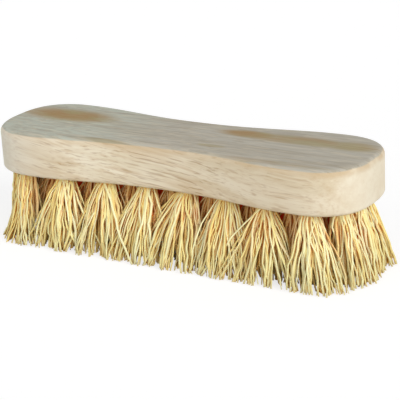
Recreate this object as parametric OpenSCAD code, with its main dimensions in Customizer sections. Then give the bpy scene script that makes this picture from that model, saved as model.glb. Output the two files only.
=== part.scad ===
// Scrub brush: a waisted hardwood block with tufts of root fibre set in blind holes.
// Millimetres. X runs along the block, Y across it, Z up. The origin is on the floor that the
// fibre tips rest on, under the middle of the block.

/* [Block] */
// Length of the block
block_l = 178; // [150:1:230]
// Width across the rounded ends
lobe_w = 52; // [46:0.5:64]
// Width across the waist
waist_w = 39.5; // [35:0.5:45]
// Thickness of the block
block_t = 19.5; // [17:0.5:28]
// Length of each rounded end, from its widest place to its tip
end_l = 24.7; // [20:0.1:30]
// How square each end is along the block, 2 is an ellipse
end_square = 2.3; // [2:0.1:3]
// How square each end is across the block, 2 is an ellipse
side_square = 2.6; // [2:0.1:3]
// How closely the hollow of the waist keeps to the middle
waist_hollow = 1.25; // [0.8:0.05:1.6]
// Rounding of the upper edge
top_round = 2.9; // [1:0.1:4]
// Rounding of the lower edge
bottom_round = 1.9; // [0.5:0.1:3]

/* [Tuft holes] */
// Diameter of a tuft hole
hole_d = 7; // [5:0.1:7.8]
// Depth of a tuft hole
hole_depth = 10.5; // [8:0.5:11.5]
// Wanted distance from hole to hole along a row
hole_pitch = 19.8; // [18:0.1:24]
// Distance of the outer rows from the sides of the block
side_inset = 8; // [7:0.1:9]
// Distance of the two end holes from the ends of the block
end_inset = 7.5; // [7:0.1:9]
// How far the outer rows run on past the widest places of the block
row_overrun = 5; // [3:0.1:6]
// How far the rows are drilled towards the right-hand end
row_shift = -1.5; // [-2:0.1:2]

/* [Wire anchors] */
// Thickness of an anchor
anchor_t = 0.5; // [0.3:0.05:0.8]
// Height of an anchor
anchor_h = 2; // [1.5:0.1:3]
// How far each end of an anchor bites into the wood
anchor_bite = 0.9; // [0.5:0.1:1]
// Angle between the anchors and the length of the block
anchor_turn = 45; // [0:5:90]
// Fibre folded over an anchor, between it and the end of the hole
fold_h = 2.2; // [1.5:0.1:3]

/* [Fibre] */
// Length of fibre below the block
trim = 31; // [25:0.5:40]
// Strands in the middle of a tuft
core_strands = 2; // [2:1:3]
// Strands round the outside of a tuft
rim_strands = 6; // [5:1:6]
// Sides of a strand
strand_sides = 3; // [3:1:4]
// Width of a strand
strand_w = 1.4; // [0.9:0.05:1.5]
// How far the tips stand out past the block at its widest places
lobe_flare = 4.6; // [2:0.1:7]
// How far the tips stand out past the block at its waist
waist_flare = 9; // [6:0.1:12]
// How far the tips stand out past the ends of the block
end_flare = 2.4; // [1:0.1:5]
// Outward lean of the end tufts, from root to tip
end_lean = 6; // [4:0.1:7]
// Clear space between neighbouring tufts at their tips
tip_gap = 0.4; // [0.3:0.1:1]
// Unevenness of the tips, before they are trimmed
uneven_tips = 1.6; // [0.5:0.1:3]
// How much of the longest tips is trimmed off flat, for the brush to stand on
flat_trim = 0.5; // [0.3:0.1:1]
// Sideways kink of a strand, near half its length
strand_kink = 0.4; // [0:0.05:0.5]
// Clearance of a tuft in its hole
tuft_clearance = 0.15; // [0.05:0.05:0.3]
// How deep in its hole a tuft parts into strands
root_recess = 0.6; // [0.2:0.1:1.5]

/* [Hidden] */
// Block and its place over the floor
half_l = block_l / 2;
lobe_half = lobe_w / 2;
waist_half = waist_w / 2;
widest_x = half_l - end_l;
block_z = trim;
quarter_turn = 90;
full_turn = 4 * quarter_turn;
end_steps = 12;
waist_steps = 8;
top_steps = 4;
bottom_steps = 2;

// Tuft holes: five rows, every other one set over by half a pitch
rows = 5;
row_letters = "abcde";
outer_row = (rows - 1) / 2;
hole_r = hole_d / 2;
outer_last_x = widest_x + row_overrun;
outer_gaps = round(2 * outer_last_x / hole_pitch);
pitch = 2 * outer_last_x / outer_gaps;
hole_sides = 24;
cut_through = 1;

// Anchors
anchor_l = hole_d + 2 * anchor_bite;
anchor_z = block_z + hole_depth - fold_h - anchor_h;
slot_clearance = tuft_clearance / 2;

// Fibre packed in a hole
plug_r = hole_r - tuft_clearance;
plug_h = hole_depth - root_recess - tuft_clearance;
plug_sides = 8;
half_side = full_turn / plug_sides / 2;
root_z = block_z + root_recess;

// Strands
strand_r = strand_w / 2;
rim_clearance = 0.05;
rim_r = plug_r * cos(half_side) - strand_r - rim_clearance;
core_share = 0.4;
core_r = core_share * rim_r;
kink_share = 0.46;
tuft_turn = 77;
tip_margin = strand_r + tip_gap / 2;
lean_growth = 3;
uneven_growth = 2;
kink_seed = 1;
length_seed = 101;
turn_seed = 201;

// How far the sides have come out at x, from 0 at the waist to 1 at the widest places
function side_swell(x) =
    pow(sin(quarter_turn * min(abs(x), widest_x) / widest_x), 2 * waist_hollow);
function half_width(x) = waist_half + (lobe_half - waist_half) * side_swell(x);

// One quarter of the outline, from the end of the block to the middle of its waist
function end_point(t) = [
    widest_x + end_l * pow(cos(t), 2 / end_square),
    lobe_half * pow(sin(t), 2 / side_square)
];
quarter = concat(
    [for (k = [0:end_steps - 1]) end_point(quarter_turn * k / end_steps)],
    [for (k = [waist_steps:-1:0]) let (x = widest_x * k / waist_steps) [x, half_width(x)]]
);
last = len(quarter) - 1;
far_side = concat(quarter, [for (k = [last - 1:-1:0]) [-quarter[k].x, quarter[k].y]]);
outline = concat(far_side, [for (k = [len(far_side) - 2:-1:1]) [far_side[k].x, -far_side[k].y]]);
points = len(outline);

// The outline drawn in by an even amount
function outward(k) =
    let (d = outline[(k + 1) % points] - outline[(k + points - 1) % points])
    [d.y, -d.x] / norm(d);
outward_normals = [for (k = [0:points - 1]) outward(k)];
function drawn_in(by, z) = [
    for (k = [0:points - 1])
        let (p = outline[k] - by * outward_normals[k])
        [p.x, p.y, z]
];

// Rows of holes: x of each hole in a row, then its y
function spaced(count) = [for (k = [0:count - 1]) (k - (count - 1) / 2) * pitch];
function row_x(place) =
    place == 0
        ? concat([end_inset - half_l], spaced(outer_gaps + 1), [half_l - end_inset])
        : spaced(abs(place) == outer_row ? outer_gaps + 1 : outer_gaps + 2);
function row_y(place, x) = (half_width(x) - side_inset) * place / outer_row;

// Half the width that the tips cover at x, and their reach along the block at y
function tip_half_width(x) =
    half_width(x) + waist_flare + (lobe_flare - waist_flare) * side_swell(x);
function tip_reach(y) =
    let (share = min(1, abs(y) / (lobe_half + lobe_flare)))
    widest_x + (end_l + end_flare) * pow(1 - pow(share, side_square), 1 / end_square);

// Tips of a tuft: the middle of the oval that they cover, and its two half axes
function tip_x(x) = x + end_lean * sign(x) * pow(abs(x) / (half_l - end_inset), lean_growth);
function tip_y(place, x) = tip_half_width(x) * place * 2 / rows;
function tip_spread_x(xs, k, y) =
    let (
        here = tip_x(xs[k]),
        left = k > 0 ? here - tip_x(xs[k - 1]) : pitch,
        right = k < len(xs) - 1 ? tip_x(xs[k + 1]) - here : pitch
    )
    min(
        min(pitch, left, right) / 2 - tip_margin,
        tip_reach(y) - abs(here + row_shift) - strand_r
    );
function tip_spread_y(x) = tip_half_width(x) / rows - tip_margin;

// Every tuft: name, root, middle of the tips, half axes of the tips
function tuft_row(r) =
    let (place = r - outer_row, xs = row_x(place))
    [for (k = [0:len(xs) - 1])
        let (x = xs[k], ty = tip_y(place, x))
        [
            str("tuft_", row_letters[r], k + 1),
            [x + row_shift, row_y(place, x)],
            [tip_x(x) + row_shift, ty],
            [tip_spread_x(xs, k, ty), tip_spread_y(x)]
        ]];
tufts = [for (r = [0:rows - 1]) each tuft_row(r)];

// Strands of one tuft: root, kink, tip and turn of each. They fan out evenly from the hole to
// the oval of their tips, so none cross.
function tuft_strands(index) =
    let (
        t = tufts[index],
        count = core_strands + rim_strands,
        bend = rands(-strand_kink, strand_kink, 2 * count, index + kink_seed),
        length = rands(0, 1, count, index + length_seed),
        turned = rands(0, full_turn, count, index + turn_seed)
    )
    [for (k = [0:count - 1])
        let (
            in_core = k < core_strands,
            around = full_turn * k / (in_core ? core_strands : rim_strands) + tuft_turn * index,
            arm = (in_core ? core_r : rim_r) * [cos(around), sin(around)],
            root = t[1] + arm,
            tip = t[2] + [arm.x * t[3].x, arm.y * t[3].y] / rim_r,
            kink = root + (tip - root) * kink_share + [bend[2 * k], bend[2 * k + 1]],
            tip_z = max(0, uneven_tips * pow(length[k], uneven_growth) - flat_trim)
        )
        [
            [root.x, root.y, root_z],
            [kink.x, kink.y, trim / 2],
            [tip.x, tip.y, tip_z],
            turned[k]
        ]];

// A closed solid from rings of equal length, with flat ends made of strips across the outline
module ring_stack(rings) {
    n = len(rings[0]);
    top = (len(rings) - 1) * n;
    sides = [
        for (r = [0:len(rings) - 2], k = [0:n - 1])
            let (a = r * n + k, b = r * n + (k + 1) % n)
            each [[a, a + n, b + n], [a, b + n, b]]
    ];
    lower = [
        for (k = [0:n / 2 - 1])
            let (a = k, b = k + 1, c = n - k - 1, d = (n - k) % n)
            each concat(k > 0 ? [[a, b, d]] : [], k < n / 2 - 1 ? [[b, c, d]] : [])
    ];
    upper = [for (f = lower) [f[2] + top, f[1] + top, f[0] + top]];
    polyhedron([for (ring = rings) each ring], concat(sides, lower, upper));
}

// Solid wood with both edges rounded
module blank() {
    lower = [
        for (k = [0:bottom_steps])
            let (t = quarter_turn * k / bottom_steps)
            drawn_in(bottom_round * (1 - sin(t)), block_z + bottom_round * (1 - cos(t)))
    ];
    upper = [
        for (k = [0:top_steps])
            let (t = quarter_turn * k / top_steps)
            drawn_in(top_round * (1 - cos(t)), block_z + block_t - top_round * (1 - sin(t)))
    ];
    ring_stack(concat(lower, upper));
}

module tuft_hole(at) {
    translate([at.x, at.y, block_z - cut_through])
        cylinder(r = hole_r, h = hole_depth + cut_through, $fn = hole_sides);
}

module anchor(at, clearance = 0) {
    translate([at.x, at.y, anchor_z - clearance])
        rotate([0, 0, anchor_turn])
            translate([-anchor_l / 2 - clearance, -anchor_t / 2 - clearance, 0])
                cube([anchor_l, anchor_t, anchor_h] + 2 * clearance * [1, 1, 1]);
}

module block() {
    color("#d9c9a8")
        difference() {
            blank();
            for (t = tufts) {
                tuft_hole(t[1]);
                anchor(t[1]);
            }
        }
}

module wire_anchors() {
    color("silver")
        for (t = tufts)
            anchor(t[1]);
}

// One strand: a prism through level sections, cut flat at its tip
module strand(path, turn) {
    n = strand_sides;
    end = (len(path) - 1) * n;
    corners = [
        for (at = path, k = [0:n - 1])
            let (t = turn + full_turn * k / n)
            at + strand_r * [cos(t), sin(t), 0]
    ];
    sides = [
        for (r = [0:len(path) - 2], k = [0:n - 1])
            let (a = r * n + k, b = r * n + (k + 1) % n)
            each [[a, b, b + n], [a, b + n, a + n]]
    ];
    caps = [for (k = [1:n - 2]) each [[k + 1, k, 0], [end, end + k, end + k + 1]]];
    polyhedron(corners, concat(sides, caps));
}

// The doubled fibre packed in its hole, round its anchor
module packed_root(at) {
    difference() {
        translate([at.x, at.y, root_z])
            rotate([0, 0, anchor_turn + half_side])
                cylinder(r = plug_r, h = plug_h, $fn = plug_sides);
        anchor(at, slot_clearance);
    }
}

module tuft(index) {
    color("#dcc283") {
        packed_root(tufts[index][1]);
        for (s = tuft_strands(index))
            strand([s[0], s[1], s[2]], s[3]);
    }
}

block();
wire_anchors();
for (k = [0:len(tufts) - 1])
    tuft(k);
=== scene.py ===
import math
import random

import bpy
from mathutils import Matrix, Vector


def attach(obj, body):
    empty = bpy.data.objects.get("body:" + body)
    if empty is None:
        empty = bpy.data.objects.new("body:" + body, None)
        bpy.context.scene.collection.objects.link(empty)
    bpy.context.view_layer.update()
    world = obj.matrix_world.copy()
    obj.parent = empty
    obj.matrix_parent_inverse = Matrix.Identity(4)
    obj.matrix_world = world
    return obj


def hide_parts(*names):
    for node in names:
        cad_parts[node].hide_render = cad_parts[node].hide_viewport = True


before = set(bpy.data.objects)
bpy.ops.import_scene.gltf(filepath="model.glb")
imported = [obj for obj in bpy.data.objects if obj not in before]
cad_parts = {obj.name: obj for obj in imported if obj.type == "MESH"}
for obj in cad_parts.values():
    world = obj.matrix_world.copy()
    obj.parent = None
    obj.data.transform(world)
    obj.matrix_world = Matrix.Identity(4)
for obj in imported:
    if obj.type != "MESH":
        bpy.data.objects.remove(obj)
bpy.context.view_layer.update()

print("frame loaded:", len(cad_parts), "nodes")

# camera first

camera = {
    "turn": 30.891,              # degrees round the brush, from its long side
    "height": 19.454,            # degrees over the floor
    "roll": -2.957,
    "distance": 0.62806,
    "aim": (0.006445, 0, 0.02134),
    "lens": 130.99,
    "sensor": 36,
    "clip": (0.01, 50),          # the nearest and the farthest that it sees
}


def wayOut(turn, height):
    # from the brush to the camera or to a lamp
    level = math.cos(height)
    return Vector((math.sin(turn) * level, -math.cos(turn) * level, math.sin(height)))


def placeCamera():
    turn, height = math.radians(camera["turn"]), math.radians(camera["height"])
    bpy.ops.object.camera_add()
    shot = bpy.context.object
    shot.name = "shot"
    aimed = Matrix.Rotation(turn, 4, "Z") @ Matrix.Rotation(math.pi / 2 - height, 4, "X")
    rolled = aimed @ Matrix.Rotation(math.radians(camera["roll"]), 4, "Z")
    place = Vector(camera["aim"]) + wayOut(turn, height) * camera["distance"]
    shot.matrix_world = Matrix.Translation(place) @ rolled
    shot.data.sensor_width = camera["sensor"]
    shot.data.lens = camera["lens"]
    shot.data.clip_start, shot.data.clip_end = camera["clip"]
    bpy.context.scene.camera = shot


placeCamera()
print("camera placed")


# what is done to every piece

def addDisc(sides, radius, height):
    # a flat disc, alone selected, with its place in its mesh
    bpy.ops.object.select_all(action="DESELECT")
    bpy.ops.mesh.primitive_circle_add(vertices=sides, radius=radius, fill_type="NGON",
                                      location=(0, 0, height))
    disc = bpy.context.object
    bpy.ops.object.transform_apply(location=True)
    return disc


def editAll():
    bpy.ops.object.mode_set(mode="EDIT")
    bpy.ops.mesh.select_all(action="SELECT")


def extrude(*way):
    bpy.ops.mesh.extrude_region_move(TRANSFORM_OT_translate={"value": way})


def faceOutwards():
    bpy.ops.mesh.select_all(action="SELECT")
    bpy.ops.mesh.normals_make_consistent(inside=False)


def ownCopy(thing):
    # a copy with its own mesh
    twin = thing.copy()
    twin.data = thing.data.copy()
    bpy.context.collection.objects.link(twin)
    return twin


def select(things):
    bpy.ops.object.select_all(action="DESELECT")
    for thing in things:
        thing.select_set(True)
    bpy.context.view_layer.objects.active = things[0]


def joined(things):
    select(things)
    bpy.ops.object.join()
    return things[0]


def coat(thing, finish):
    thing.data.materials.clear()
    thing.data.materials.append(finish)


# shader sums

class Wire:
    # a node's output, so that shader sums can be written as Python

    def __init__(self, finish, socket):
        self.finish = finish
        self.socket = socket

    def output(self, name):
        # another output of the same node
        return Wire(self.finish, self.socket.node.outputs[name])

    def __add__(self, other):
        return self.finish.sum("ADD", self, other)

    def __radd__(self, other):
        return self.finish.sum("ADD", other, self)

    def __sub__(self, other):
        return self.finish.sum("SUBTRACT", self, other)

    def __rsub__(self, other):
        return self.finish.sum("SUBTRACT", other, self)

    def __mul__(self, other):
        return self.finish.sum("MULTIPLY", self, other)

    def __rmul__(self, other):
        return self.finish.sum("MULTIPLY", other, self)

    def __truediv__(self, other):
        return self.finish.sum("DIVIDE", self, other)

    def __rtruediv__(self, other):
        return self.finish.sum("DIVIDE", other, self)


def linear(colour):
    # a colour as a photograph gives it, 0 to 255, as light
    return tuple((c / 255 / 12.92) if c / 255 < 0.04045 else ((c / 255 + 0.055) / 1.055) ** 2.4
                 for c in colour)


class Finish:
    # the nodes of a material or of the sky

    def __init__(self, owner):
        owner.use_nodes = True
        self.owner = owner
        self.tree = owner.node_tree
        self.tree.nodes.clear()

    def add(self, kind, settings={}, sockets={}, out=0):
        node = self.tree.nodes.new(kind)
        for name, value in settings.items():
            if name == "stops":
                while len(node.color_ramp.elements) < len(value):
                    node.color_ramp.elements.new(1)
                for stop, (place, tint) in zip(node.color_ramp.elements, value):
                    stop.position = place
                    stop.color = (*tint, 1)
            else:
                setattr(node, name, value)
        for name, value in sockets.items():
            if isinstance(value, Wire):
                self.tree.links.new(value.socket, node.inputs[name])
            else:
                node.inputs[name].default_value = value
        return Wire(self, node.outputs[out]) if node.outputs else None

    def sum(self, operation, first, second=0.0):
        return self.add("ShaderNodeMath", {"operation": operation}, {0: first, 1: second})

    def blend(self, share, first, second, how="MIX"):
        colours = {6: first if isinstance(first, Wire) else (*first, 1),
                   7: second if isinstance(second, Wire) else (*second, 1)}
        return self.add("ShaderNodeMix", {"data_type": "RGBA", "blend_type": how, "clamp_factor": True},
                        {0: share, **colours}, out=2)

    def ramp(self, value, starts, full):
        # 0 where it starts, 1 where it is full, smooth between; full may be the lower one
        return self.add("ShaderNodeMapRange", {"interpolation_type": "SMOOTHSTEP"},
                        {0: value, 1: starts, 2: full, 3: 0.0, 4: 1.0})

    def layers(self, colour, palette, rows, patterns):
        # tints laid over a colour in turn: a pattern, where it starts and is full, its share, the tint
        for pattern, starts, full, share, tint in rows:
            share = self.ramp(patterns[pattern], starts, full) * patterns.get(share, share)
            colour = self.blend(share, colour, linear(palette[tint]))
        return colour

    def place(self):
        return self.add("ShaderNodeTexCoord", out="Object")

    def noise(self, where, scale, detail, rough=0.5, warp=0.0, shift=(0, 0, 0)):
        scaled = self.add("ShaderNodeMapping", {}, {0: where, 1: shift, 3: scale})
        return self.add("ShaderNodeTexNoise", {}, {"Vector": scaled, "Scale": 1.0, "Detail": detail,
                                                   "Roughness": rough, "Distortion": warp})

    def bump(self, strength, distance, height):
        return self.add("ShaderNodeBump", {}, {"Strength": strength, "Distance": distance, "Height": height})

    def seen(self):
        # 1 for what the camera sees, also in a reflection and through glass
        ray = self.add("ShaderNodeLightPath")
        bounced = self.sum("MAXIMUM", ray.output("Is Glossy Ray"), ray.output("Is Transmission Ray"))
        return self.sum("MAXIMUM", ray.output("Is Camera Ray"), bounced)

    def surface(self, sockets):
        shader = self.add("ShaderNodeBsdfPrincipled", {}, sockets)
        self.add("ShaderNodeOutputMaterial", {}, {"Surface": shader})
        return self.owner


# the wood

wood = {
    "side": (222, 209, 182),         # planed side
    "sideLight": (236, 226, 204),
    "sideWarm": (206, 182, 146),
    "pores": (168, 132, 92),         # short dark vessel lines
    "end": (236, 226, 204),          # sanded end grain
    "pale": (233, 228, 214),         # the paler left-hand end
    "edge": (204, 180, 144),         # the rubbed top edge
    "top": (190, 185, 172),          # greyed by handling, and partly painted shade: darker and cooler than the sides as its light falls
    "topCool": (193, 197, 183),
    "topDark": (164, 153, 134),
    "heart": (166, 136, 92),         # brown streaks in the top
    "heartOlive": (164, 149, 106),
    "grainDip": 0.105,               # how fast the grain runs down towards the right-hand end
    "grainCurve": -0.3,
    "swirl": ((16, 30, 30), 2.0),
    "swirlDepth": 0.006,
    # patterns along the grain: scale, detail, roughness, warp, shift
    "patterns": {
        "bands": ((8, 96, 96), 4.0, 0.55, 0.4),
        "fibres": ((40, 900, 900), 3.0, 0.6, 0.3),
        "vessels": ((60, 1200, 1200), 2.0, 0.5, 0.4, (3, 7, 1)),
        "patches": ((30, 90, 90), 3.0, 0.5, 0.6, (1, 5, 9)),
        "rings": ((12, 420, 420), 2.0, 0.5, 0.2, (2, 4, 6)),
    },
    # layers: a pattern, where it starts and where it is full, its share or what gives it, its colour
    "sideLayers": [
        ("bands", 0.35, 0.65, 1, "sideLight"),
        ("patches", 0.48, 0.75, 0.55, "sideWarm"),
        ("fibres", 0.48, 0.68, "fibred", "sideWarm"),
        ("fibres", 0.48, 0.30, 0.4, "sideLight"),
        ("rings", 0.50, 0.70, 0.3, "sideWarm"),
        ("vessels", 0.54, 0.68, "porous", "pores"),
        ("x", 0.005, 0.045, "planed", "sideWarm"),
        ("endOn", 0.45, 0.95, 0.55, "end"),
        ("x", -0.045, -0.084, 0.6, "pale"),
        ("below", 0.0040, 0.0016, "rubbed", "edge"),
    ],
    "topLayers": [
        ("x", 0.0, -0.05, 1, "topCool"),
        ("bands", 0.45, 0.75, 0.5, "topDark"),
        ("fibres", 0.46, 0.68, 0.6, "topDark"),
        ("rings", 0.48, 0.70, 0.5, "topDark"),
        ("vessels", 0.52, 0.34, 0.35, "side"),
    ],
    # heart streaks: middle x and y, half length, half width, strength
    "streaks": [
        (-0.064, 0.0066, 0.0268, 0.0102, 1.0),
        (0.028, 0.0096, 0.017, 0.0058, 0.95),
        (0.052, 0.0090, 0.034, 0.0066, 0.75),
        (0.074, 0.0088, 0.014, 0.0070, 0.75),
        (-0.026, -0.0200, 0.013, 0.0024, 0.5),
        (0.019, -0.0103, 0.008, 0.0020, 0.55),
        (0.052, -0.0215, 0.030, 0.0034, 0.35),
    ],
    "streakWaver": 0.005,
    "streakFade": (1.25, 0.1),       # where a streak starts and where it is full, 1 being its outline
    "streakLeast": 0.7,
    "streakFibres": 0.6,             # how much the fibres mark the streaks
    "oliveFrom": (0.40, 0.60),
    "fibresPlaned": 0.55,            # share of the warm fibres in the planed side
    "fibresLost": 0.4,               # and what is lost of it on end grain
    "endGrain": (0.45, 0.95),        # how far a face looks to the ends where end grain starts and is full
    "poresLeast": 0.2,
    "poresPlaned": 0.72,
    "poresLost": 0.68,
    "poresLostFrom": (0.05, 0.45),
    "rightWarm": 0.22,
    "rubbedPatches": (0.30, 0.62),
    "rubbedAlong": (-0.080, 0.010),  # the edge is rubbed more towards the right-hand end
    "rubbedLeast": 0.2,
    "rubbedMore": 0.55,
    "topFrom": (0.0011, 0.0006),     # how far below the top its grey starts and is full
    "topWaver": 0.0010,
    "rough": 0.62,
    "roughFibres": 0.15,
    "gloss": 0.2,
    "bump": (0.25, 0.0002),          # strength and depth
}


def woodFinish():
    made = Finish(bpy.data.materials.new("sandedHardwood"))
    place = made.place()
    apart = made.add("ShaderNodeSeparateXYZ", {}, {0: place})
    x, y, z = (apart.output(axis) for axis in "XYZ")
    facing = made.add("ShaderNodeSeparateXYZ", {}, {0: place.output("Normal")}, out="X")
    endOn = made.sum("ABSOLUTE", facing)
    endGrain = made.ramp(endOn, *wood["endGrain"])
    below = block["underside"] + block["thickness"] - z

    swirl = made.noise(place, *wood["swirl"])
    layer = z + x * wood["grainDip"] + x * x * wood["grainCurve"] + (swirl - 0.5) * wood["swirlDepth"]
    grain = made.add("ShaderNodeCombineXYZ", {}, {0: x, 1: y, 2: layer})
    patterns = {name: made.noise(grain, *pattern) for name, pattern in wood["patterns"].items()}
    bands, fibres, patches = patterns["bands"], patterns["fibres"], patterns["patches"]
    poresKept = wood["poresPlaned"] - made.ramp(endOn, *wood["poresLostFrom"]) * wood["poresLost"]
    towardsRight = wood["rubbedLeast"] + made.ramp(x, *wood["rubbedAlong"]) * wood["rubbedMore"]
    patterns.update({
        "x": x,
        "endOn": endOn,
        "below": below,
        "fibred": wood["fibresPlaned"] - endGrain * wood["fibresLost"],
        "porous": (wood["poresLeast"] + patches) * poresKept,
        "planed": (1 - endGrain) * wood["rightWarm"],
        "rubbed": made.ramp(patches, *wood["rubbedPatches"]) * towardsRight,
    })
    side = made.layers(linear(wood["side"]), wood, wood["sideLayers"], patterns)
    top = made.layers(linear(wood["top"]), wood, wood["topLayers"], patterns)

    heart = 0.0
    for middleX, middleY, halfLong, halfAcross, strength in wood["streaks"]:
        along = (x - middleX) / halfLong
        across = (y - middleY + (bands - 0.5) * wood["streakWaver"]) / halfAcross
        spot = made.ramp(along * along + across * across, *wood["streakFade"]) * strength
        heart = made.sum("MAXIMUM", heart, spot)
    olive = made.ramp(patches, *wood["oliveFrom"])
    heartTint = made.blend(olive, linear(wood["heart"]), linear(wood["heartOlive"]))
    top = made.blend(heart * (wood["streakLeast"] + fibres * wood["streakFibres"]), top, heartTint)

    # the top's grey and its cooler tint are partly painted shade, the top lit less than the sides
    onTop = made.ramp(below - (patches - 0.5) * wood["topWaver"], *wood["topFrom"])
    return made.surface({
        "Base Color": made.blend(onTop, side, top),
        "Roughness": wood["rough"] + fibres * wood["roughFibres"],
        "Normal": made.bump(*wood["bump"], (fibres + patterns["vessels"]) * 0.5),
        "Specular IOR Level": wood["gloss"],
    })


# the block

block = {
    "length": 0.178,
    "lobeWidth": 0.052,
    "waistWidth": 0.0395,
    "thickness": 0.0195,
    "endLength": 0.0247,
    "endSquareness": 2.3,
    "sideSquareness": 2.6,
    "waistHollow": 1.25,
    "topRound": 0.0029,
    "bottomRound": 0.0019,
    "underside": 0.031,          # height over the floor: the length of the fibre
    "endSteps": 22,
    "waistSteps": 24,
    "roundSteps": 6,
    "sharpAngle": 40,            # degrees, from which an edge stays sharp
}
widestX = block["length"] / 2 - block["endLength"]


def halfWidth(x):
    swell = math.sin(math.pi / 2 * min(abs(x), widestX) / widestX) ** (2 * block["waistHollow"])
    return (block["waistWidth"] + (block["lobeWidth"] - block["waistWidth"]) * swell) / 2


def blockOutline():
    quarter = []
    for step in range(block["endSteps"]):
        turn = math.pi / 2 * step / block["endSteps"]
        quarter.append((widestX + block["endLength"] * math.cos(turn) ** (2 / block["endSquareness"]),
                        block["lobeWidth"] / 2 * math.sin(turn) ** (2 / block["sideSquareness"])))
    for step in range(block["waistSteps"], -1, -1):
        x = widestX * step / block["waistSteps"]
        quarter.append((x, halfWidth(x)))
    half = quarter + [(-x, y) for x, y in reversed(quarter[:-1])]
    return half + [(x, -y) for x, y in reversed(half[1:-1])]


holes = {
    "diameter": 0.007,
    "depth": 0.0105,
    "pitch": 0.0198,
    "sideInset": 0.008,
    "endInset": 0.0075,
    "overrun": 0.005,
    "shift": -0.0015,
    "countersink": 0.0003,
    "sides": 40,
    "rows": "abcde",
    "coverFrom": 0.0105,         # so far in from the outline other tufts start to hide a tuft
    "coverOver": 0.004,          # and over so much more it is hidden all round
}
tips = {
    "lobeFlare": 0.0050,
    "waistFlare": 0.0112,
    "endFlare": 0.0024,
    "endLean": 0.006,
    "leanGrowth": 3,             # how late along the brush the tufts start to lean
    "combed": 0.0018,            # the ends of the brush are combed a little to the right
    "full": 0.0302,              # past this to the side, fibres are pressed in
    "pressed": 0.6,
    "offSide": 0.0016,           # how far the tips keep from the reach of a row
    "offEnd": 0.0040,
}


def endReach(y):
    # how far the tips reach along the brush at y
    side = min(1, abs(y) / (block["lobeWidth"] / 2 + tips["lobeFlare"]))
    swell = (1 - side ** block["sideSquareness"]) ** (1 / block["endSquareness"])
    return widestX + (block["endLength"] + tips["endFlare"]) * swell


def tuftPlaces():
    # name, hole, middle of the tips and how far the tips spread, row by row as drilled;
    # outward is the way out of the brush from the tuft, bulge how round the tuft's outline is,
    # and covered is 1 where other tufts stand all round it
    lastX = widestX + holes["overrun"]
    gaps = round(2 * lastX / holes["pitch"])
    pitch = 2 * lastX / gaps
    endX = block["length"] / 2 - holes["endInset"]
    rows = len(holes["rows"])
    outerRow = rows // 2

    def spaced(count):
        return [(k - (count - 1) / 2) * pitch for k in range(count)]

    def tipX(x):
        return x + tips["endLean"] * math.copysign(abs(x / endX) ** tips["leanGrowth"], x)

    outline = [Vector(corner) for corner in blockOutline()]
    places = []
    for row, letter in enumerate(holes["rows"]):
        place = row - outerRow
        along = spaced(gaps + 1) if abs(place) == outerRow else spaced(gaps + 2)
        if place == 0:
            along = [-endX] + spaced(gaps + 1) + [endX]
        for number, x in enumerate(along):
            swell = (2 * halfWidth(x) - block["waistWidth"]) / (block["lobeWidth"] - block["waistWidth"])
            reach = halfWidth(x) + tips["waistFlare"] + (tips["lobeFlare"] - tips["waistFlare"]) * swell
            tip = Vector((tipX(x) + holes["shift"], reach * place * 2 / rows))
            room = min([pitch] + [abs(tipX(x) - tipX(other)) for other in along if other != x]) / 2
            y = (halfWidth(x) - holes["sideInset"]) * place / outerRow
            hole = Vector((x + holes["shift"], y))
            rim = min((corner - hole).length for corner in outline)
            places.append({
                "name": f"{letter}{number + 1}",
                "hole": hole,
                "covered": max(0, min(1, (rim - holes["coverFrom"]) / holes["coverOver"])),
                "tip": tip,
                "spread": Vector((min(room, endReach(tip.y) - abs(tip.x)), reach / rows)),
                "reach": reach,
                "outward": Vector((x - max(-widestX, min(widestX, x)), y)),
                "bulge": 0 if x < -widestX else 1,
            })
    return places


tufts = tuftPlaces()


def selectEdgesAt(thing, height):
    # in edit mode: only the edges that lie at that height
    bpy.ops.mesh.select_all(action="DESELECT")
    bpy.ops.object.mode_set(mode="OBJECT")
    for edge in thing.data.edges:
        edge.select = all(abs(thing.data.vertices[v].co.z - height) < 1e-6 for v in edge.vertices)
    bpy.ops.object.mode_set(mode="EDIT")
    bpy.ops.mesh.select_mode(type="EDGE")


def drillBit():
    # one bit, with its countersink
    radius, sink = holes["diameter"] / 2, holes["countersink"]
    bit = addDisc(holes["sides"], radius + 2 * sink, block["underside"] - sink)
    editAll()
    extrude(0, 0, 2 * sink)
    narrow = radius / (radius + 2 * sink)
    bpy.ops.transform.resize(value=(narrow, narrow, 1), center_override=(0, 0, block["underside"]))
    extrude(0, 0, holes["depth"] - sink)
    faceOutwards()
    bpy.ops.object.mode_set(mode="OBJECT")
    return bit


def makeBlock():
    outline = blockOutline()
    bottom, top = block["underside"], block["underside"] + block["thickness"]
    made = addDisc(len(outline), 1, bottom)
    made.name = "block"
    for corner, (x, y) in zip(made.data.vertices, outline):
        corner.co.x, corner.co.y = x, y
    editAll()
    extrude(0, 0, block["thickness"])
    faceOutwards()
    for height, rounding in ((top, block["topRound"]), (bottom, block["bottomRound"])):
        selectEdgesAt(made, height)
        bpy.ops.mesh.bevel(offset=rounding, segments=block["roundSteps"], profile=0.5,
                           affect="EDGES", clamp_overlap=False)
    bpy.ops.object.mode_set(mode="OBJECT")

    bit = drillBit()
    bits = [ownCopy(bit) for tuft in tufts]
    for copied, tuft in zip(bits, tufts):
        copied.data.transform(Matrix.Translation((*tuft["hole"], 0)))
    bpy.data.objects.remove(bit)
    drill = joined(bits)
    select([made])
    drilling = made.modifiers.new("drilling", "BOOLEAN")
    drilling.object = drill
    drilling.operation = "DIFFERENCE"
    drilling.solver = "EXACT"
    bpy.ops.object.modifier_apply(modifier="drilling")
    bpy.data.objects.remove(drill)
    bpy.ops.object.shade_smooth_by_angle(angle=math.radians(block["sharpAngle"]))
    coat(made, woodFinish())
    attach(made, "root")
    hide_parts("block")


makeBlock()
print("block turned out, drilled and sanded")

# the root fibre

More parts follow.
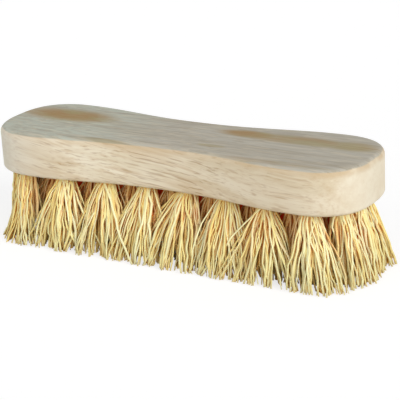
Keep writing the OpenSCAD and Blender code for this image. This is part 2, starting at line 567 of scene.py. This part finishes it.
fibre = {
    "kinds": 36,                 # fibres modelled, from which the others are copied
    "inTuft": 116,
    "sides": 5,
    "thin": 0.00025,             # half thickness
    "thick": 0.00057,
    "stretches": 9,              # straight stretches over the trimmed length and a bit
    "kink": (0.08, 0.27),        # how sharply a fibre changes direction
    "carry": 0.5,                # how much of its direction it keeps
    "homing": 60,                # how strongly it turns back to its line
    "wander": 0.0014,            # how far it strays from its line
    "swell": (0.88, 1.10),       # how its thickness changes
    "spare": 1.12,               # fibre left before trimming, as a share of its length
    "past": 1.02,                # and so far its tip reaches past the trim
    "trim": 0.0001,              # height of the cut over the floor
    "inHole": 0.0098,
    "offWall": 0.0005,           # how far the fibres keep from the wall of the hole
    "jitter": 0.2,               # how unevenly they stand round it
    "spread": (1.45, 1.2),       # of the tips, along and across the brush
    "tipShare": (0.75, 1.15),    # how much farther in or out a tip lies than its root
    "tipTurn": 0.4,
    "bulge": (0.1, 0.9),
    "roundness": 1.1,            # how late down the tuft the bulge ends
    "uneven": 0.0020,
    "clumps": 12,                # tips that cling together, in a tuft
    "cling": (0.3, 0.9),
    "clingFrom": 2.5,            # how late down the tuft they do
    "shortClumps": 2,            # how rare short clumps are, and short fibres
    "shortFibres": 2.2,
    "lean": 0.0011,              # how far a whole tuft leans along the brush
    "stray": 0.08,               # share of fibres that cross their neighbours
    "strayReach": (0.004, 0.014),
    "strayHidden": 0.3,
    "longStrays": {"a2": (0.012,), "a3": (0.019,), "a5": (-0.012,), "a7": (-0.0235, 0.017)},
    "longBulge": 0.3,
    # inside fibres take the painted warm shade
    "innerFrom": 0.75,           # from here in, as a share of the tuft, a fibre counts as inside
    "innerGrowth": 3,
    "innerHidden": 0.6,
    # how hidden a fibre is sets the painted shade and the painted glow between the tufts
    "hiddenMiddle": 0.1,         # how hidden a fibre is in the middle of its tuft
    "hiddenGrowth": 1.4,         # and how much more towards the inside of the brush
    "hiddenRim": 0.35,           # the most at the rim of the brush
    "hiddenCovered": 0.4,        # the least where other tufts stand all round
    "smoothAngle": 80,
    "seed": 11,
    "pale": (252, 249, 200),
    "straw": (250, 238, 168),
    "golden": (246, 220, 140),
    "rose": (242, 212, 168),
    "grey": (224, 218, 182),
    "root": (250, 218, 128),     # nearer the wood
    "tip": (212, 204, 150),
    "cut": (180, 164, 122),      # the trimmed ends, darkened too by painted shade where the fibres meet the floor
    "insideShade": (240, 204, 108),    # painted warm shade inside a tuft
    "crowdedShade": (255, 200, 50),   # painted warm shade in the creases between crowded fibres
    # painted deep shade where fibres are crowded, higher up in the brush
    "buriedShade": (248, 164, 84),
    "gapShade": (234, 140, 44),      # painted deep shade between the tufts
    "paintedGlow": (0.046, 0.0032, 0.0002),  # painted glow deep between the tufts, standing in for light through the roots
    "tones": [(0.0, "golden"), (0.35, "straw"), (0.8, "pale")],
    "toneAlong": 0.5,            # how much the tone changes along a fibre
    # layers: a pattern, where it starts and where it is full, its share, its colour
    "layers": [
        ("hue", 0.88, 0.95, 0.45, "rose"),
        ("hue", 0.12, 0.05, 0.5, "grey"),
        ("z", 0.012, 0.030, 0.2, "root"),
        ("z", 0.020, 0.002, 0.5, "tip"),
        # painted shade near the floor, over the trimmed ends
        ("z", 0.0030, 0.0002, 0.4, "cut"),
    ],
    "insideShadeShare": 0.45,
    "crowding": 0.005,           # as far as a fibre feels its neighbours
    "rays": 6,                   # with which it feels them
    "crowdedFrom": (0.44, 0.02), # how free a fibre is where the painted shade starts and where it is full
    "buriedFrom": (0.24, 0.0),
    "buriedUp": (0.004, 0.022),  # and how high over the floor
    "gapShadeUp": (0.006, 0.022),
    "paintedGlowFrom": (0.3, 0.9),
    "along": ((500, 500, 120), 3.0, 0.6),
    "grain": ((5000, 5000, 300), 2.0, 0.6),
    "rough": 0.5,
    "roughAlong": 0.2,
    "gloss": 0.08,
    "bump": (0.3, 0.00015),
}
pick = random.Random(fibre["seed"])
marks = ("tone", "hue", "inner", "hidden")     # kept on each fibre for its finish


def fibreFinish():
    made = Finish(bpy.data.materials.new("rootFibre"))
    tone, hue, inner, hidden = (made.add("ShaderNodeAttribute", {"attribute_name": mark}, out="Fac")
                                for mark in marks)
    place = made.place()
    z = made.add("ShaderNodeSeparateXYZ", {}, {0: place}, out="Z")
    along = made.noise(place, *fibre["along"])
    grain = made.noise(place, *fibre["grain"])
    stops = [(stop, linear(fibre[tint])) for stop, tint in fibre["tones"]]
    colour = made.add("ShaderNodeValToRGB", {"stops": stops}, {0: tone + (along - 0.5) * fibre["toneAlong"]})
    colour = made.layers(colour, fibre, fibre["layers"], {"hue": hue, "z": z})
    # painted warm shade on fibres inside a tuft and facing the inside of the brush
    colour = made.blend(inner * fibre["insideShadeShare"], colour, linear(fibre["insideShade"]))

    # painted shade where neighbouring fibres crowd a fibre, read from occlusion
    free = made.add("ShaderNodeAmbientOcclusion", {"samples": fibre["rays"]},
                    {"Distance": fibre["crowding"]}, out="AO")
    crowdedShade = made.ramp(free, *fibre["crowdedFrom"])
    colour = made.blend(crowdedShade, colour, linear(fibre["crowdedShade"]), "MULTIPLY")
    # painted deep shade, from occlusion and height
    buriedShade = made.ramp(free, *fibre["buriedFrom"]) * made.ramp(z, *fibre["buriedUp"])
    colour = made.blend(buriedShade, colour, linear(fibre["buriedShade"]), "MULTIPLY")
    # painted deep shade between the tufts, on hidden fibres near the wood
    deepShade = hidden * made.ramp(z, *fibre["gapShadeUp"])
    return made.surface({
        "Base Color": made.blend(deepShade, colour, linear(fibre["gapShade"]), "MULTIPLY"),
        "Roughness": fibre["rough"] + along * fibre["roughAlong"],
        "Normal": made.bump(*fibre["bump"], grain + along),
        "Specular IOR Level": fibre["gloss"],
        # painted glow deep between the tufts
        "Emission Color": made.blend(made.ramp(deepShade, *fibre["paintedGlowFrom"]), (0, 0, 0), fibre["paintedGlow"]),
        "Emission Strength": 1.0,
    })


def modelFibre(radius):
    # one wavy root, from its end in the hole down past the trim
    kink = pick.uniform(*fibre["kink"])
    mouth = block["underside"]
    root = addDisc(fibre["sides"], radius, mouth + fibre["inHole"])
    editAll()
    extrude(0, 0, -fibre["inHole"])
    drop = mouth * fibre["spare"] / fibre["stretches"]
    slope = Vector((0, 0))
    place = Vector((0, 0))
    height = mouth
    for stretch in range(fibre["stretches"]):
        slope = slope * fibre["carry"] + Vector((pick.gauss(0, kink), pick.gauss(0, kink)))
        step = (slope - place * fibre["homing"]) * drop
        step -= (place + step) * max(0, 1 - fibre["wander"] / ((place + step).length or 1))
        place += step
        height -= drop
        swell = pick.uniform(*fibre["swell"])
        extrude(step.x, step.y, -drop)
        bpy.ops.transform.resize(value=(swell, swell, 1), center_override=(place.x, place.y, height))
    faceOutwards()
    bpy.ops.object.mode_set(mode="OBJECT")
    for mark in marks:
        root.data.attributes.new(mark, "FLOAT", "POINT")
    bpy.context.collection.objects.unlink(root)
    return root


def bendFibre(root, lay, turn):
    # carries a copied fibre from its place in the hole out to its tip, pulled to its clump at the end
    mouth = block["underside"]
    hole, tip, pull, bulge = lay["hole"], lay["tip"], lay["pull"], lay["bulge"]
    reach = (fibre["past"] - lay["short"] / mouth) / fibre["spare"]
    for corner in root.data.vertices:
        x, y, z = corner.co
        down = max(0, (mouth - z) / mouth)
        fan = down + (math.sin(math.pi / 2 * min(1, down)) ** fibre["roundness"] - down) * bulge
        late = down ** fibre["clingFrom"]
        along = hole.x + (tip.x - hole.x) * fan + pull.x * late + x * math.cos(turn) - y * math.sin(turn)
        side = hole.y + (tip.y - hole.y) * fan + pull.y * late + x * math.sin(turn) + y * math.cos(turn)
        side -= math.copysign(max(0, abs(side) - tips["full"]) * tips["pressed"], side)
        corner.co = (along, side, z if z > mouth else mouth - (mouth - z) * reach)


def sunflower(count):
    # places spread evenly over a round: how far out each is, and which way
    start = pick.uniform(0, 2 * math.pi)
    for k in range(count):
        turn = start + k * math.pi * (3 - math.sqrt(5)) + pick.uniform(-fibre["jitter"], fibre["jitter"])
        yield math.sqrt((k + 0.5) / count), turn


def hiddenShare(tuft, hole, room):
    # how much a fibre faces the inside of the brush, from where it stands in its tuft
    share = 1
    if tuft["outward"].length > 0:
        outwards = hole.dot(tuft["outward"].normalized())
        share = fibre["hiddenMiddle"] - fibre["hiddenGrowth"] * outwards / room
    most = fibre["hiddenRim"] + tuft["covered"] * (1 - fibre["hiddenRim"])
    return max(tuft["covered"] * fibre["hiddenCovered"], min(most, share))


def tuftLay(tuft):
    # for each fibre of a tuft: where it stands, where its tip goes and is pulled to, its bulge,
    # how short it is, how far inside the tuft and how hidden it is, and if it is a long stray
    room = holes["diameter"] / 2 - fibre["offWall"]
    spreadAlong, spreadAcross = fibre["spread"]

    def tipAt(share, around):
        return Vector((math.cos(around) * tuft["spread"].x * spreadAlong,
                       math.sin(around) * tuft["spread"].y * spreadAcross)) * share

    lean = Vector((pick.gauss(0, fibre["lean"]), 0))
    clumps = [(lean + tipAt(*spot), pick.random() ** fibre["shortClumps"] * fibre["uneven"] / 2)
              for spot in sunflower(fibre["clumps"])]
    lays = []
    for share, around in sunflower(fibre["inTuft"]):
        hole = Vector((math.cos(around), math.sin(around))) * room * share
        tip = lean + tipAt(share * pick.uniform(*fibre["tipShare"]), around + pick.gauss(0, fibre["tipTurn"]))
        bulge = tuft["bulge"] * pick.uniform(*fibre["bulge"])
        clump, short = min(clumps, key=lambda one: (one[0] - tip).length)
        pull = (clump - tip) * pick.uniform(*fibre["cling"])
        hidden = hiddenShare(tuft, hole, room)
        if pick.random() < fibre["stray"]:
            tip.x += pick.choice((-1, 1)) * pick.uniform(*fibre["strayReach"])
            bulge, hidden = 0, hidden * fibre["strayHidden"]
        inner = (fibre["innerFrom"] - share) * fibre["innerGrowth"] + hidden * fibre["innerHidden"]
        short += pick.random() ** fibre["shortFibres"] * fibre["uneven"] / 2
        lays.append({"hole": hole, "tip": tip, "pull": pull, "bulge": bulge, "short": short,
                     "inner": max(0, min(1, inner)), "hidden": hidden, "long": False})
    for shift in fibre["longStrays"].get(tuft["name"], ()):
        lays.append({"hole": Vector((0, -room)), "tip": Vector((shift, -tuft["spread"].y)),
                     "pull": Vector((0, 0)), "bulge": fibre["longBulge"], "short": 0,
                     "inner": 0, "hidden": 0, "long": True})
    return lays


def makeTuft(tuft, kinds, finish):
    strands = []
    for lay in tuftLay(tuft):
        lay["hole"] = tuft["hole"] + lay["hole"]
        tip = lay["tip"] = tuft["tip"] + lay["tip"]
        side = tuft["reach"] - tips["offSide"]
        tip.y = max(-side, min(side, tip.y))
        edge = endReach(tip.y) - tips["offEnd"]
        tip.x = max(tips["combed"] - edge, min(tips["combed"] + edge, tip.x))
        strand = ownCopy(kinds[-1] if lay["long"] else pick.choice(kinds))
        bendFibre(strand, lay, pick.uniform(0, 2 * math.pi))
        tone = pick.random() + lay["long"]
        for mark, value in zip(marks, (tone, pick.random(), lay["inner"], lay["hidden"])):
            strand.data.attributes[mark].data.foreach_set("value", [value] * len(strand.data.vertices))
        strands.append(strand)
    made = joined(strands)
    made.name = "tuft" + tuft["name"].upper()
    editAll()
    bpy.ops.mesh.bisect(plane_co=(0, 0, fibre["trim"]), plane_no=(0, 0, 1), use_fill=True, clear_inner=True)
    bpy.ops.object.mode_set(mode="OBJECT")
    bpy.ops.object.shade_smooth_by_angle(angle=math.radians(fibre["smoothAngle"]))
    coat(made, finish)
    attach(made, "root")
    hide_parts("tuft_" + tuft["name"])


kinds = [modelFibre(fibre["thin"] + (fibre["thick"] - fibre["thin"]) * k / (fibre["kinds"] - 1))
         for k in range(fibre["kinds"])]
print("root fibres modelled:", len(kinds))
rootFibre = fibreFinish()
for tuft in tufts:
    makeTuft(tuft, kinds, rootFibre)
for kind in kinds:
    bpy.data.objects.remove(kind)
print("tufts set and trimmed:", len(tufts))

# the wire anchors

wire = {
    "zinc": (176, 178, 182),
    "dull": (128, 130, 136),
    "spangle": ((900, 900, 900), 3.0, 0.6),
    "zincFrom": (0.35, 0.65),
    "drawn": ((300, 300, 6000), 2.0, 0.5),
    "metallic": 0.9,
    "rough": 0.35,
    "roughSpangle": 0.25,
    "bump": (0.2, 0.0001),
}


def wireFinish():
    made = Finish(bpy.data.materials.new("galvanisedWire"))
    place = made.place()
    spangle = made.noise(place, *wire["spangle"])
    bright = made.ramp(spangle, *wire["zincFrom"])
    return made.surface({
        "Base Color": made.blend(bright, linear(wire["dull"]), linear(wire["zinc"])),
        "Metallic": wire["metallic"],
        "Roughness": wire["rough"] + spangle * wire["roughSpangle"],
        "Normal": made.bump(*wire["bump"], made.noise(place, *wire["drawn"])),
    })


coat(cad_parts["wire_anchors"], wireFinish())
print("wire anchors galvanised")

# floor and light

studio = {
    "floorSize": 8,
    "floorDrop": 0.0002,         # below the tips
    "floorWhite": 0.80,
    "shadow": 0.4,               # how much of the floor's own light and shade the camera sees
    "backdrop": 1.27,            # what the rest of the floor shows the camera
    "skyFill": 0.38,
    # name, degrees round, degrees up, degrees across, strength
    "lamps": [
        ("key", 68, 27, 40, 1.96),
        ("front", -10, 14, 70, 1.0),
    ],
}


def makeFloor():
    bpy.ops.object.select_all(action="DESELECT")
    bpy.ops.mesh.primitive_plane_add(size=studio["floorSize"], location=(0, 0, -studio["floorDrop"]))
    floor = bpy.context.object
    floor.name = "studioFloor"
    bpy.ops.object.transform_apply(location=True)
    made = Finish(bpy.data.materials.new("paperFloor"))
    white = studio["floorWhite"]
    paper = made.add("ShaderNodeBsdfDiffuse", {}, {"Color": (white, white, white, 1)})
    bright = made.add("ShaderNodeEmission", {}, {"Color": (1, 1, 1, 1), "Strength": studio["backdrop"]})
    mixed = made.add("ShaderNodeMixShader", {},
                     {0: made.seen() * (1 - studio["shadow"]), 1: paper, 2: bright})
    made.add("ShaderNodeOutputMaterial", {}, {"Surface": mixed})
    floor.data.materials.append(made.owner)


def makeSky():
    sky = bpy.data.worlds.new("studioSky")
    bpy.context.scene.world = sky
    made = Finish(sky)
    strength = studio["skyFill"] + made.seen() * (1 - studio["skyFill"])
    light = made.add("ShaderNodeBackground", {}, {"Color": (1, 1, 1, 1), "Strength": strength})
    made.add("ShaderNodeOutputWorld", {}, {"Surface": light})


def makeLamp(name, turn, height, across, strength):
    back = wayOut(math.radians(turn), math.radians(height))
    bpy.ops.object.light_add(type="SUN", location=back)
    lamp = bpy.context.object
    lamp.name = name
    lamp.rotation_euler = back.to_track_quat("Z", "Y").to_euler()
    lamp.data.angle = math.radians(across)
    lamp.data.energy = strength


makeFloor()
makeSky()
for lamp in studio["lamps"]:
    makeLamp(*lamp)
bpy.context.scene.view_settings.view_transform = "Standard"
print("floor, sky and lamps placed")
